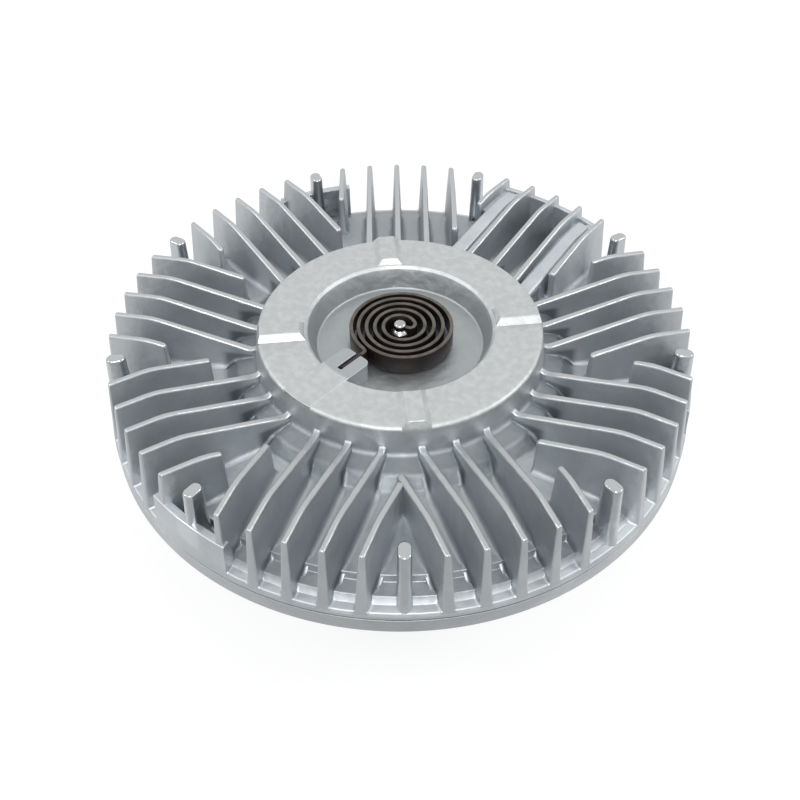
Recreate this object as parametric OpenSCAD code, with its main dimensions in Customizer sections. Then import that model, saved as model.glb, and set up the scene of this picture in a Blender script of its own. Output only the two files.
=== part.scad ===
// Viscous fan clutch with a finned die-cast front cover and a bimetal coil.
// The drive flange bolts to a water pump hub, and the fan bolts to the rear body.
// A silicone fluid between the lands of the rotor and of the housing carries the torque.
// The coil turns a small valve that lets the fluid in when the air behind the radiator is hot.
// Z runs along the shaft, from the seat of the drive flange at zero to the fin tops.

/* [Overall] */
// Outer diameter of the rim
rim_d = 190; // [186:1:196]
// Height from the seat of the drive flange to the fin tops
height = 80; // [78:1:86]

/* [Cooling fins] */
// Thickness of a front fin at its top
fin_t = 1.9; // [1.6:0.1:2.4]
// Draft on each side of a front fin in degrees
fin_draft = 2; // [1:0.25:3]
// Depth from the fin tops to the floor between them
fin_h = 17; // [15:0.5:17.5]
// Thickness of a rear fin at its free edge
rear_fin_t = 2.2; // [1.8:0.1:2.6]
// Number of rear fins
rear_fins = 36; // [28:4:44]

/* [Hub and bimetal coil] */
// Diameter of the raised hub ring
hub_d = 92; // [90:1:94]
// Diameter of the coil recess at its mouth
recess_d = 60; // [58:1:62]
// Outer diameter of the bimetal coil
coil_d = 32.6; // [31:0.2:34]
// Thickness of the bimetal strip
strip_t = 1.2; // [0.9:0.1:1.4]
// Width of the bimetal strip along the shaft
strip_w = 6.3; // [5.5:0.1:6.6]

/* [Fan mount] */
// Pitch circle of the fan bolts
fan_pcd = 83; // [80:1:86]
// Tapping diameter of the fan bolt holes
fan_tap_d = 6.8; // [6.6:0.1:7]
// Diameter of the boss that centres the fan
fan_pilot_d = 65; // [63:1:66]

/* [Drive flange] */
// Diameter of the drive flange
flange_d = 60; // [58:1:62]
// Thickness of the drive flange
flange_t = 8; // [7:0.5:9]
// Pitch circle of the flange bolts
flange_pcd = 44.5; // [43:0.5:46]
// Diameter of the flange bolt holes
flange_hole_d = 8.5; // [8:0.5:9]
// Diameter of the pilot bore in the flange
pilot_d = 16; // [14:1:16]

/* [Bearing] */
// Bore of the ball bearing
brg_bore = 17; // [16:0.5:18]
// Outer diameter of the ball bearing
brg_od = 40; // [40:0.5:42]
// Width of the ball bearing
brg_w = 12; // [12:0.5:13]

/* [Hidden] */
$fn = 96;

// Colours
cast = [0.70, 0.72, 0.73];
steel = [0.60, 0.61, 0.63];
dark_steel = [0.33, 0.30, 0.28];
brass = [0.76, 0.62, 0.36];
rubber = [0.10, 0.10, 0.11];
nylon = [0.86, 0.84, 0.76];

// Front cover: depths are measured down from the fin tops
R = rim_d / 2;
sectors = 9;
step_a = 360 / sectors;
first_a = 10;
fin_offsets = [-2, -1, 0, 1, 2];
fin_pitch = 2 * R * tan(step_a / 2) / 6.65;
tip_r = R - 2.6;
knee_r = R - 15;
hub_r = hub_d / 2;
skirt_r = hub_r + 1;
toe_z = -9.4;
shoulder_z = -12.3;
floor_z = -fin_h;
rim_z = -22.6;
seam_z = -25;
flange_z = -29;
spigot_r = R - 1.8;
ring_z = -1;
recess_r = recess_d / 2;
recess_z = -8.4;
pan_r = recess_r - 2.8;
post_in = R - 6.4;
post_out = R - 4.3;
post_r = 1.95;
return_sector = 50;
return_y = 1.5 * fin_pitch;
return_z = -14;
tab_a = 226.5;
tab_w = 11;
rib_a = 5.5;
rib_h = 2;
rib_w = 4.8;
rib_draft = 45;
shoulder_r = skirt_r + 7;
step_r = skirt_r + 10;
// Each ledge is an angle and the depth of its top
ledges = [[110, -8.6], [230, -12], [350, -12]];

// Working chamber
bowl_r = R - 12;
rotor_r = R - 15;
cover_in_z = -21.5;
web_top = -28;
web_low = -31.5;
pan_in_z = -38;
land_pitch = 5.2;
land_t = 1.8;
cover_land_z = -26.8;
body_land_z = -32.7;
rotor_land_top = -22.7;
rotor_land_low = -36.8;
rotor_hub_z = -27;
bleed_r = 45;
bleed_hole_r = 3;
wiper_z = -34;
nut_r = 10.4;
nut_t = 4;
plug_r = 2;
function rotor_land(i) = rotor_r - 1.5 - i * land_pitch;
function house_land(i) = rotor_land(i) - land_pitch / 2;

// Reservoir, separator plate and valve
well_r = hub_r - 3;
plate_r = hub_r + 2;
plate_z = -20.2;
plate_t = 1.2;
plate_screw_r = hub_r - 0.5;
land_n = 1 + floor((house_land(0) - plate_r - 3) / land_pitch);
port_r = well_r - 6;
port_a = 30;
pin_r = 2;
bush_r = 5;
oring_r = 0.9;

// Bimetal coil: half turns about two centres
coil_pitch = 2.6;
coil_r = coil_d / 2 - strip_t / 2;
coil_top = -1.2;
coil_halves = 9;
tail_out = 26.8;
slot_w = 2;

// Bearing and shaft
brg_r = brg_od / 2;
brg_top = pan_in_z;
brg_low = brg_top - brg_w;
body_end = brg_low - 3;
pad_z = -47;
body_rim_z = -31;
body_pan_z = -42.5;
rear_fin_z = -46;
cup_r = bleed_r + 5;
cup_z = -33.5;
pad_r = fan_pcd / 2 + 10.6;
rear_fin_in = pad_r - 3.1;
journal_r = brg_bore / 2;
seat_r = journal_r - 0.5;
neck_r = journal_r + 3;
thread_r = 6;
shaft_end = height + rotor_hub_z + nut_t + 0.4;
pitch_r = (brg_bore + brg_od) / 4;
ball_n = 8;
ball_r = 0.2932 * (brg_r - journal_r);
race_r = ball_r + 0.06;
inner_race_od = pitch_r - 2.05;
outer_race_id = pitch_r + 2.05;

// Cuts and places measured down from the fin tops
module from_top() translate([0, 0, height]) children();

module ring(r0, r1, z0, z1) {
    rotate_extrude() translate([r0, z0]) square([r1 - r0, z1 - z0]);
}

// A straight bar along X with a trapezoid section, symmetric about Y = 0
module bar(x0, x1, half_low, z_low, half_top, z_top) {
    translate([x0, 0, 0]) rotate([90, 0, 90]) linear_extrude(x1 - x0)
        polygon([[-half_low, z_low], [half_low, z_low], [half_top, z_top], [-half_top, z_top]]);
}

// Inner end of a fin: middle fins start inside the hub, the edge fins stop short of it
function fin_start(a, i) =
    abs(i) < 2 ? hub_r - 2 :
    i < 0 ? R - (a == 290 ? 40.3 : 37.4) : R - (a == 250 ? 36 : 23.7);

module front_fin(a, i) {
    foot = fin_t / 2 + 24 * tan(fin_draft);
    rotate(a) translate([0, i * fin_pitch, 0])
        bar(fin_start(a, i), R, foot, -24, fin_t / 2, 0);
}

// Shape that trims the fins: flat outer crown, slope to the hub, drafted outer ends
module fin_envelope() {
    rotate_extrude() polygon([[hub_r - 3, -24], [hub_r - 3, toe_z], [skirt_r, toe_z], [knee_r, 0],
        [tip_r, 0], [R - 0.2, rim_z], [R - 0.2, -24]]);
}

module post(a) {
    rotate(a) {
        for (x = [post_in, post_out]) translate([x, 0, -24]) cylinder(24, post_r + 0.56, post_r + 0.06);
        bar(post_in, post_out, post_r + 0.5, -24, post_r, 0);
    }
}

module ledge(a, z) {
    rotate(a - 8.5) rotate_extrude(angle = 17)
        polygon([[R - 4.2, -24], [R - 3.6, z], [R - 3 + 2.4 * z / rim_z, z], [R - 0.6, rim_z], [R - 0.6, -24]]);
}

// Raised ridges over the two return drillings, closed off by a low wall at the fin ends
module return_ridges() {
    intersection() {
        rotate(return_sector) for (s = [-1, 1]) translate([0, s * return_y, 0])
            bar(hub_r - 4, R - 4, 3.6, -24, 2.6, -3);
        rotate_extrude() polygon([[hub_r - 4, -24], [hub_r - 4, -12.2], [shoulder_r, -11], [knee_r, -5.2],
            [R - 8, -4.6], [R - 7, -6], [R - 6.4, -24]]);
    }
    rotate(return_sector - 13) rotate_extrude(angle = 26)
        polygon([[R - 5.7, -24], [R - 5.3, -3], [R - 3.6, -3], [R - 3.2, -24]]);
}

// Bar that takes the outer end of the coil
module coil_tab() {
    w = tab_w / 2;
    x0 = coil_d / 2 + 2.2;
    rotate(tab_a) translate([0, 0, recess_z - 1]) linear_extrude(ring_z - recess_z + 1.5) union() {
        translate([x0 + 2, -w]) square([hub_r - 4 - x0, tab_w]);
        translate([x0, -w + 2]) square([4, tab_w - 4]);
        for (s = [-1, 1]) translate([x0 + 2, s * (w - 2)]) circle(2);
    }
}

module cover_outside() {
    rotate_extrude() polygon([[0, flange_z], [0, recess_z], [pan_r - 0.6, recess_z],
        [pan_r + 0.1, recess_z + 0.6], [recess_r - 0.3, ring_z - 1.4], [recess_r + 0.2, ring_z - 0.5],
        [recess_r + 1, ring_z], [hub_r - 1.8, ring_z], [hub_r - 0.8, ring_z - 0.4],
        [hub_r - 0.2, ring_z - 1.2], [hub_r, ring_z - 2.2], [skirt_r, shoulder_z + 0.7],
        [shoulder_r, shoulder_z], [shoulder_r + 0.6, shoulder_z - 0.5], [step_r, floor_z],
        [R - 13, floor_z], [R - 10.1, floor_z - 2], [R - 7.9, floor_z - 2],
        [R - 5, floor_z - 4], [R - 2.2, floor_z - 4], [R - 0.5, rim_z], [R, rim_z - 0.5], [R, seam_z],
        [spigot_r, seam_z], [spigot_r, flange_z]]);
}

// Reservoir behind the hub, seat of the separator plate and front half of the working chamber
module cover_inside() {
    difference() {
        rotate_extrude() polygon([[0, flange_z - 1], [0, -15], [9, -15], [9, recess_z - 4],
            [recess_r + 1, recess_z - 4], [recess_r + 3, ring_z - 6], [well_r - 1, ring_z - 6],
            [well_r, ring_z - 7], [well_r, plate_z], [plate_r, plate_z], [plate_r, cover_in_z],
            [bowl_r, cover_in_z], [bowl_r, flange_z + 1], [bowl_r + 1, flange_z], [bowl_r + 1, flange_z - 1]]);
        for (i = [0:land_n - 1])
            ring(house_land(i) - land_t / 2, house_land(i) + land_t / 2, cover_land_z, cover_in_z + 1);
    }
}

module return_drillings() {
    rotate(return_sector) for (s = [-1, 1]) translate([0, s * return_y, 0]) {
        translate([well_r - 5, 0, return_z]) rotate([0, 90, 0]) cylinder(R - 11 - well_r + 5, 1.25, 1.25);
        translate([R - 11, 0, return_z]) rotate([0, 90, 0]) cylinder(8, plug_r, plug_r);
        translate([rotor_r, 0, cover_in_z - 1]) cylinder(return_z - cover_in_z + 1, 1.25, 1.25);
    }
}

// Four raised bars across the hub ring, bevelled on all sides
module hub_ribs() {
    top = rib_w / 2;
    foot = top + rib_h / tan(rib_draft);
    intersection() {
        for (k = [0:3]) rotate(rib_a + 90 * k) translate([recess_r - 3, 0, ring_z]) rotate([90, 0, 90])
            linear_extrude(hub_r - recess_r + 6) polygon([[-foot, -5], [foot, -5], [foot, 0],
                [top, rib_h], [-top, rib_h], [-foot, 0]]);
        rotate_extrude() translate([0, ring_z]) polygon([[recess_r + 0.2, -5], [recess_r + 0.2, -0.9],
            [recess_r + 2.4, rib_h + 0.1], [hub_r - 2.7, rib_h + 0.1], [hub_r + 0.4, -2.2], [hub_r + 0.2, -5]]);
    }
}

module front_cover() color(cast) from_top() difference() {
    union() {
        cover_outside();
        hub_ribs();
        intersection() {
            union() for (s = [0:sectors - 1], i = fin_offsets) front_fin(first_a + s * step_a, i);
            fin_envelope();
        }
        for (s = [0:sectors - 1]) post(first_a + (s + 0.5) * step_a);
        for (l = ledges) ledge(l[0], l[1]);
        return_ridges();
        coil_tab();
    }
    cover_inside();
    ring(spigot_r - 2, spigot_r + 0.1, -28.1, -26.1);
    return_drillings();
    rotate(tab_a) translate([coil_r - 2, -slot_w / 2, recess_z + 0.6])
        cube([tail_out + 3 - coil_r, slot_w, 12]);
    translate([0, 0, -13]) cylinder(10, bush_r, bush_r);
    translate([0, 0, -16]) cylinder(4, pin_r + 0.05 + 2 * oring_r, pin_r + 0.05 + 2 * oring_r);
    for (k = [0:3]) rotate(45 + 90 * k) translate([plate_screw_r, 0, plate_z - 1]) cylinder(7, 1.5, 1.5);
}

module rear_fin(a) {
    half = rear_fin_t / 2;
    rotate(a) bar(rear_fin_in + 1, R - 1, half, rear_fin_z - 0.2, half + 0.5, body_rim_z - 0.5);
}

module rear_body() color(cast) from_top() difference() {
    union() {
        rotate_extrude() polygon([[spigot_r, seam_z - 0.2], [R - 0.4, seam_z - 0.2], [R, seam_z - 0.6],
            [R, body_rim_z + 0.6], [R - 0.6, body_rim_z], [R - 6, body_rim_z], [R - 7, body_rim_z - 1.4],
            [R - 8.4, body_pan_z + 2], [R - 10.4, body_pan_z], [pad_r + 3.4, body_pan_z],
            [pad_r + 1.8, body_pan_z - 0.9], [pad_r, pad_z],
            [fan_pilot_d / 2, pad_z], [fan_pilot_d / 2, body_end + 0.8], [fan_pilot_d / 2 - 0.8, body_end],
            [brg_r - 3.2, body_end], [brg_r - 3.2, brg_low], [brg_r, brg_low], [brg_r, brg_top + 0.1],
            [brg_r + 1.3, brg_top + 0.1], [brg_r + 1.3, brg_top + 1.4], [brg_r, brg_top + 1.4],
            [brg_r, cup_z], [cup_r, cup_z], [cup_r + 1.5, pan_in_z], [bowl_r, pan_in_z], [bowl_r, flange_z],
            [spigot_r, flange_z]]);
        for (i = [0:land_n - 1])
            ring(house_land(i) - land_t / 2, house_land(i) + land_t / 2, pan_in_z - 1, body_land_z);
        difference() {
            intersection() {
                union() for (k = [0:rear_fins - 1]) rear_fin((k + 0.5) * 360 / rear_fins);
                rotate_extrude() polygon([[rear_fin_in, rear_fin_z], [R - 21, rear_fin_z + 0.4],
                    [R - 6, body_rim_z - 6], [R - 1.6, body_rim_z - 2], [R - 1.6, body_rim_z + 0.5],
                    [rear_fin_in, body_rim_z + 0.5]]);
            }
            translate([0, 0, pan_in_z]) cylinder(20, bowl_r + 1, bowl_r + 1);
        }
    }
    for (k = [0:3]) rotate(45 + 90 * k) translate([fan_pcd / 2, 0, pad_z - 1])
        cylinder(12.8, fan_tap_d / 2, fan_tap_d / 2);
}

module rim_seal() color(rubber) from_top()
    rotate_extrude() translate([spigot_r - 1, -27.1]) circle(1);

module separator_plate() color(steel) from_top() difference() {
    ring(0, plate_r, plate_z - plate_t, plate_z);
    rotate(port_a) translate([port_r, 0, plate_z - 3]) cylinder(6, 3.2, 3.2);
    for (k = [0:3]) rotate(45 + 90 * k) translate([plate_screw_r, 0, plate_z - 3]) cylinder(6, 1.5, 1.5);
}

module plate_screws() color(steel) from_top()
    for (k = [0:3]) rotate(45 + 90 * k) translate([plate_screw_r, 0, 0]) difference() {
        union() {
            translate([0, 0, plate_z - plate_t - 1.6]) cylinder(1.6, 2.2, 2.4);
            translate([0, 0, plate_z - plate_t - 0.1]) cylinder(plate_t + 5.6, 1.5, 1.5);
        }
        translate([0, 0, plate_z - plate_t - 2]) cylinder(1.2, 1.2, 1.2, $fn = 6);
    }

module valve_bush() color(brass) from_top() ring(pin_r + 0.05, bush_r, -13, recess_z);

module valve_seal() color(rubber) from_top()
    rotate_extrude() translate([pin_r + 0.05 + oring_r, -13 - oring_r]) circle(oring_r);

// Shaft of the valve: domed top, collar under the cover and a flat seat for the arm
module valve_shaft() color(steel) from_top() {
    rotate_extrude() polygon([[0, -19.9], [pin_r, -19.9], [pin_r, -17], [pin_r + 2.4, -17],
        [pin_r + 2.4, -15.3], [pin_r, -15.3], [pin_r, -0.7], [pin_r - 0.25, -0.3], [pin_r - 0.7, -0.08],
        [0, 0]]);
}

module valve_arm() color(steel) from_top() translate([0, 0, -19.9]) rotate(port_a) difference() {
    linear_extrude(1) union() {
        circle(5.5);
        translate([0, -4]) square([port_r, 8]);
        translate([port_r, 0]) circle(5);
    }
    translate([0, 0, -1]) cylinder(3, pin_r, pin_r);
}

// Strip bent about two centres, with a straight tail in the tab and a tang on the shaft
module coil_arc(centre, r, a, sweep) {
    translate([centre, 0, 0]) rotate(a) rotate_extrude(angle = sweep)
        translate([r - strip_t / 2, coil_top - strip_w]) square([strip_t, strip_w]);
}

module bimetal_coil() color(dark_steel) from_top() rotate(tab_a) {
    e = coil_pitch / 4;
    for (k = [0:coil_halves - 1])
        coil_arc(k % 2 == 0 ? e : -e, coil_r - e - k * coil_pitch / 2, k % 2 == 0 ? -180 : 0, 180);
    last = coil_r - e - coil_halves * coil_pitch / 2;
    coil_arc(-e, last, 90, 90);
    translate([-e, 0, 0]) rotate(90)
        translate([pin_r + 0.02, -strip_t / 2, coil_top - strip_w]) cube([last - pin_r, strip_t, strip_w]);
    translate([coil_r, slot_w / 2 - strip_t, coil_top - strip_w])
        cube([tail_out - coil_r, strip_t, strip_w]);
}

module return_plugs() color(steel) from_top()
    rotate(return_sector) for (s = [-1, 1]) translate([R - 9, s * return_y, return_z]) sphere(plug_r);

// Block that scrapes the fluid off the rotor's edge into the return drillings
module pump_wiper() color(nylon) from_top()
    rotate(return_sector - 7) rotate_extrude(angle = 14)
        translate([rotor_r + 0.6, wiper_z]) square([bowl_r - rotor_r - 0.6, cover_in_z - wiper_z]);

module rotor() color(cast) from_top() difference() {
    union() {
        ring(seat_r, seat_r + 6, brg_top, rotor_hub_z);
        ring(seat_r, rotor_r, web_low, web_top);
        for (i = [0:land_n - 1])
            ring(rotor_land(i) - land_t / 2, rotor_land(i) + land_t / 2, rotor_land_low, rotor_land_top);
    }
    for (k = [0:5]) rotate(60 * k) translate([bleed_r, 0, web_low - 1])
        cylinder(web_top - web_low + 2, bleed_hole_r, bleed_hole_r);
}

module rotor_nut() color(steel) from_top() difference() {
    translate([0, 0, rotor_hub_z]) cylinder(nut_t, nut_r, nut_r, $fn = 6);
    translate([0, 0, rotor_hub_z - 1]) cylinder(nut_t + 2, thread_r, thread_r);
}

module input_shaft() color(steel) difference() {
    rotate_extrude() polygon([[0, 0], [flange_d / 2 - 0.8, 0], [flange_d / 2, 0.8],
        [flange_d / 2, flange_t - 0.8], [flange_d / 2 - 0.8, flange_t], [neck_r + 2.5, flange_t],
        [neck_r + 0.7, flange_t + 0.8], [neck_r, flange_t + 2.5], [neck_r, height + brg_low],
        [journal_r, height + brg_low], [journal_r, height + brg_top], [seat_r, height + brg_top],
        [seat_r, height + rotor_hub_z], [thread_r, height + rotor_hub_z], [thread_r, shaft_end - 0.8],
        [thread_r - 0.8, shaft_end], [0, shaft_end]]);
    translate([0, 0, -1]) cylinder(13, pilot_d / 2, pilot_d / 2);
    translate([0, 0, -0.01]) cylinder(1, pilot_d / 2 + 1, pilot_d / 2);
    for (k = [0:3]) rotate(45 + 90 * k) translate([flange_pcd / 2, 0, -1])
        cylinder(flange_t + 2, flange_hole_d / 2, flange_hole_d / 2);
}

module dust_slinger() color(steel) from_top()
    rotate_extrude() polygon([[neck_r, body_end - 2.6], [neck_r + 3, body_end - 2.6],
        [neck_r + 8, body_end - 1.8], [neck_r + 9.5, body_end - 0.6], [neck_r + 8.6, body_end - 0.6],
        [neck_r + 7.4, body_end - 0.9], [neck_r + 2.8, body_end - 1.6], [neck_r, body_end - 1.6]]);

brg_mid = (brg_top + brg_low) / 2;

module race_groove() rotate_extrude() translate([pitch_r, brg_mid]) circle(race_r);

module bearing_outer() color(steel) from_top() difference() {
    ring(outer_race_id, brg_r, brg_low, brg_top);
    race_groove();
}

module bearing_inner() color(steel) from_top() difference() {
    ring(journal_r, inner_race_od, brg_low, brg_top);
    race_groove();
}

module bearing_balls() color(steel) from_top()
    for (k = [0:ball_n - 1]) rotate(k * 360 / ball_n) translate([pitch_r, 0, brg_mid]) sphere(ball_r);

module bearing_cage() color(brass) from_top() difference() {
    ring(pitch_r - 1.1, pitch_r + 1.1, brg_mid - ball_r - 0.9, brg_mid + ball_r + 0.9);
    for (k = [0:ball_n - 1]) rotate(k * 360 / ball_n) translate([pitch_r - 3, 0, brg_mid])
        rotate([0, 90, 0]) cylinder(6, ball_r, ball_r);
}

module shield(z) ring(inner_race_od + 0.3, outer_race_id, z, z + 0.8);

module bearing_seal_front() color(rubber) from_top() shield(brg_top - 1);

module bearing_seal_rear() color(rubber) from_top() shield(brg_low + 0.2);

// Open ring that keeps the bearing in the body
module bearing_clip() color(dark_steel) from_top() rotate(20) rotate_extrude(angle = 320)
    translate([brg_r - 2.4, brg_top + 0.1]) square([3.7, 1.3]);

front_cover();
rear_body();
rim_seal();
separator_plate();
plate_screws();
valve_bush();
valve_seal();
valve_shaft();
valve_arm();
bimetal_coil();
return_plugs();
pump_wiper();
rotor();
rotor_nut();
input_shaft();
dust_slinger();
bearing_outer();
bearing_inner();
bearing_balls();
bearing_cage();
bearing_seal_front();
bearing_seal_rear();
bearing_clip();
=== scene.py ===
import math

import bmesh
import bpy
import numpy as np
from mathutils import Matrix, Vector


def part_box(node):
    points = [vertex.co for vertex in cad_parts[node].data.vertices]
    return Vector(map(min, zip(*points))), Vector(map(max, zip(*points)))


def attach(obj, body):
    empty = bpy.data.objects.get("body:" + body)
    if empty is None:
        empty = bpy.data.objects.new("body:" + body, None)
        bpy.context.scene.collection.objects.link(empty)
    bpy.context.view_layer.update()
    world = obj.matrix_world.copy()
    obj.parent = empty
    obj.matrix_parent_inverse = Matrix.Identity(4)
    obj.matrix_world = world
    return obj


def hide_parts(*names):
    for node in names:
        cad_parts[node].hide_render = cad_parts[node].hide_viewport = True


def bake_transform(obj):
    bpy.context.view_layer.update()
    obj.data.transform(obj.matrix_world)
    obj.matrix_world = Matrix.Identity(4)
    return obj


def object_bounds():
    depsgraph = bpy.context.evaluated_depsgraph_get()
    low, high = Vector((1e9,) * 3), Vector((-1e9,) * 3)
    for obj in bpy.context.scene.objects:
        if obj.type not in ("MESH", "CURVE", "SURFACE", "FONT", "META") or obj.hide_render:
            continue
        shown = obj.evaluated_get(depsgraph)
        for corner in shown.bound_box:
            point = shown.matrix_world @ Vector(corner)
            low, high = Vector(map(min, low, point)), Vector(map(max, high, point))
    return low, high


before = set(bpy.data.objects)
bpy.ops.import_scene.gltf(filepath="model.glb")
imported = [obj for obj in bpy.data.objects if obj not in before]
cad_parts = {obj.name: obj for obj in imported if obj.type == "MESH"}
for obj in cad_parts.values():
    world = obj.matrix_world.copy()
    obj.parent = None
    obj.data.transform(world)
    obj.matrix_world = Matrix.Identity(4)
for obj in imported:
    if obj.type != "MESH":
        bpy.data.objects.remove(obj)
cad_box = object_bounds()

# %% [markdown]
# # A viscous fan clutch
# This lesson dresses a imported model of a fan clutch: a finned aluminium housing that
# turns on a bearing around a flanged drive shaft, with a spiral bimetal coil in its hub.
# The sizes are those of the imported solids, and each cell below works in their frame:
# Z runs along the shaft, and heights are counted down from the fin tops, which end level
# with the pin in the middle. Only the bars on the hub stand one millimetre higher.
# Lengths are written in millimetres and turned into metres when a mesh is made.

MM = 0.001
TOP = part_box("valve_shaft")[1][2] / MM
R = 95.0
HUB_R = 45.9
SECTOR = 40
TAB_ANGLE = 226.5
scene = bpy.context.scene

# %% [markdown]
# ## Helpers for drawn outlines
# A casting has no sharp corners, and the soft highlights along its edges are what make it
# look cast. One helper rounds the corners of a drawn outline, one spins an outline around
# the shaft, and one makes an object from points and faces. Doing this by hand keeps the
# number of faces low, where a bevel on a finished mesh would add many thousands.

# %% Rounded outlines, turned shapes and objects
def round_corners(corners, steps=4):
    """Corners are (x, y, radius); returns the outline with each corner as a short arc."""
    out, n = [], len(corners)
    for i, (x, y, rad) in enumerate(corners):
        p = np.array((x, y), float)
        if rad <= 0:
            out.append(p)
            continue
        a = np.array(corners[i - 1][:2], float) - p
        b = np.array(corners[(i + 1) % n][:2], float) - p
        la, lb = np.linalg.norm(a), np.linalg.norm(b)
        u, v = a / la, b / lb
        half = math.acos(max(-1.0, min(1.0, float(u @ v)))) / 2
        cut = min(rad / math.tan(half), 0.49 * la, 0.49 * lb)
        rad = cut * math.tan(half)
        mid = (u + v) / np.linalg.norm(u + v)
        centre = p + mid * rad / math.sin(half)
        s, e = p + u * cut - centre, p + v * cut - centre
        a0, a1 = math.atan2(s[1], s[0]), math.atan2(e[1], e[0])
        turn = (a1 - a0 + math.pi) % (2 * math.pi) - math.pi
        for t in np.linspace(0, 1, steps + 1):
            w = a0 + turn * t
            out.append(centre + rad * np.array((math.cos(w), math.sin(w))))
    return np.array(out)


def make_object(name, points, faces):
    """Points are in millimetres below the fin tops; the object stays at the origin."""
    p = np.array(points, float).reshape(-1, 3) * MM
    p[:, 2] += TOP * MM
    mesh = bpy.data.meshes.new(name)
    mesh.from_pydata(p.tolist(), [], faces)
    mesh.validate()
    obj = bpy.data.objects.new(name, mesh)
    scene.collection.objects.link(obj)
    return obj


def tidy_normals(obj, merge=1e-6):
    """Joins points that coincide and turns all faces outward."""
    bm = bmesh.new()
    bm.from_mesh(obj.data)
    bmesh.ops.remove_doubles(bm, verts=bm.verts, dist=merge)
    bmesh.ops.recalc_face_normals(bm, faces=bm.faces)
    bm.to_mesh(obj.data)
    bm.free()
    return obj


def turned(name, outline, segments, first=0.0, sweep=360.0):
    """Spins an outline of (radius, height) about the shaft, all round or through an arc."""
    full = sweep >= 360
    turns = segments if full else segments + 1
    ang = np.radians(first + sweep * np.arange(turns) / segments)
    rz = np.asarray(outline, float)
    n = len(rz)
    pts = np.empty((turns, n, 3))
    pts[..., 0] = np.cos(ang)[:, None] * rz[None, :, 0]
    pts[..., 1] = np.sin(ang)[:, None] * rz[None, :, 0]
    pts[..., 2] = rz[None, :, 1]
    faces = []
    for k in range(segments):
        a, b = k * n, ((k + 1) % turns) * n
        faces += [(a + i, b + i, b + (i + 1) % n, a + (i + 1) % n) for i in range(n)]
    if not full:
        faces += [tuple(range(n)), tuple(range((turns - 1) * n, turns * n))]
    return tidy_normals(make_object(name, pts, faces))


print("outline helpers ready")

# %% [markdown]
# ## Repeating a shape around the shaft
# Fins, posts and ribs come in rings. A Geometry Nodes tree says the rule once: make a
# number of points, turn each one a step further, put a copy of the shape on it, and make
# the copies real. The sizes are inputs of the tree, so one tree serves every ring.

# %% The ring tree
def ring_tree():
    tree = bpy.data.node_groups.new("ring around the shaft", "GeometryNodeTree")
    face = tree.interface
    face.new_socket("Shape", in_out="INPUT", socket_type="NodeSocketGeometry")
    count = face.new_socket("Count", in_out="INPUT", socket_type="NodeSocketInt")
    first = face.new_socket("First turn", in_out="INPUT", socket_type="NodeSocketFloat")
    step = face.new_socket("Step", in_out="INPUT", socket_type="NodeSocketFloat")
    paint = face.new_socket("Material", in_out="INPUT", socket_type="NodeSocketMaterial")
    face.new_socket("Ring", in_out="OUTPUT", socket_type="NodeSocketGeometry")
    make, link = tree.nodes.new, tree.links.new
    start, end = make("NodeGroupInput"), make("NodeGroupOutput")
    points, index = make("GeometryNodePoints"), make("GeometryNodeInputIndex")
    turn, add = make("ShaderNodeMath"), make("ShaderNodeMath")
    turn.operation, add.operation = "MULTIPLY", "ADD"
    angle, place = make("ShaderNodeCombineXYZ"), make("GeometryNodeInstanceOnPoints")
    real, dress = make("GeometryNodeRealizeInstances"), make("GeometryNodeSetMaterial")
    link(start.outputs["Count"], points.inputs["Count"])
    link(index.outputs[0], turn.inputs[0])
    link(start.outputs["Step"], turn.inputs[1])
    link(turn.outputs[0], add.inputs[0])
    link(start.outputs["First turn"], add.inputs[1])
    link(add.outputs[0], angle.inputs["Z"])
    link(points.outputs[0], place.inputs["Points"])
    link(start.outputs["Shape"], place.inputs["Instance"])
    link(angle.outputs[0], place.inputs["Rotation"])
    link(place.outputs[0], real.inputs[0])
    link(real.outputs[0], dress.inputs["Geometry"])
    link(start.outputs["Material"], dress.inputs["Material"])
    link(dress.outputs[0], end.inputs[0])
    return tree, {"count": count.identifier, "first": first.identifier,
                  "step": step.identifier, "paint": paint.identifier}


RING, RING_INPUT = ring_tree()


def plain_mesh(obj):
    """Turns an object with modifiers into one with a plain mesh and no modifiers."""
    bpy.context.view_layer.update()
    seen = obj.evaluated_get(bpy.context.evaluated_depsgraph_get())
    mesh = bpy.data.meshes.new_from_object(seen)
    obj.modifiers.clear()
    old, obj.data = obj.data, mesh
    bpy.data.meshes.remove(old)
    return obj


def ring_of(obj, count, first, step, paint):
    """Repeats obj around the shaft; the angles are in degrees."""
    mod = obj.modifiers.new("ring", "NODES")
    mod.node_group = RING
    mod[RING_INPUT["count"]] = count
    mod[RING_INPUT["first"]] = math.radians(first)
    mod[RING_INPUT["step"]] = math.radians(step)
    mod[RING_INPUT["paint"]] = paint
    return plain_mesh(obj)


print("ring tree with inputs", sorted(RING_INPUT))

# %% [markdown]
# ## Camera
# The camera was fitted to the nine post tops of the photograph, so its height, tilt and
# lens are known. It looks down at about 45 degrees from close by, which gives the strong
# perspective on the fins. Depth of field stays off.

# %% Camera at the photograph's angle
LENS, SENSOR = 45.507, 36.0
CAMERA_TURN, CAMERA_DIP = -0.778, 45.391
CAMERA_BACK, CAMERA_UP = 0.24556, 0.21327


def add_camera():
    data = bpy.data.cameras.new("camera")
    data.lens, data.sensor_width, data.clip_start = LENS, SENSOR, 0.01
    cam = bpy.data.objects.new("camera", data)
    scene.collection.objects.link(cam)
    az = math.radians(CAMERA_TURN)
    cam.location = Matrix.Rotation(az, 3, "Z") @ Vector((0, -CAMERA_BACK, TOP * MM + CAMERA_UP))
    cam.rotation_euler = (math.radians(90 - CAMERA_DIP), 0, az)
    scene.camera = cam
    return cam


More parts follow.
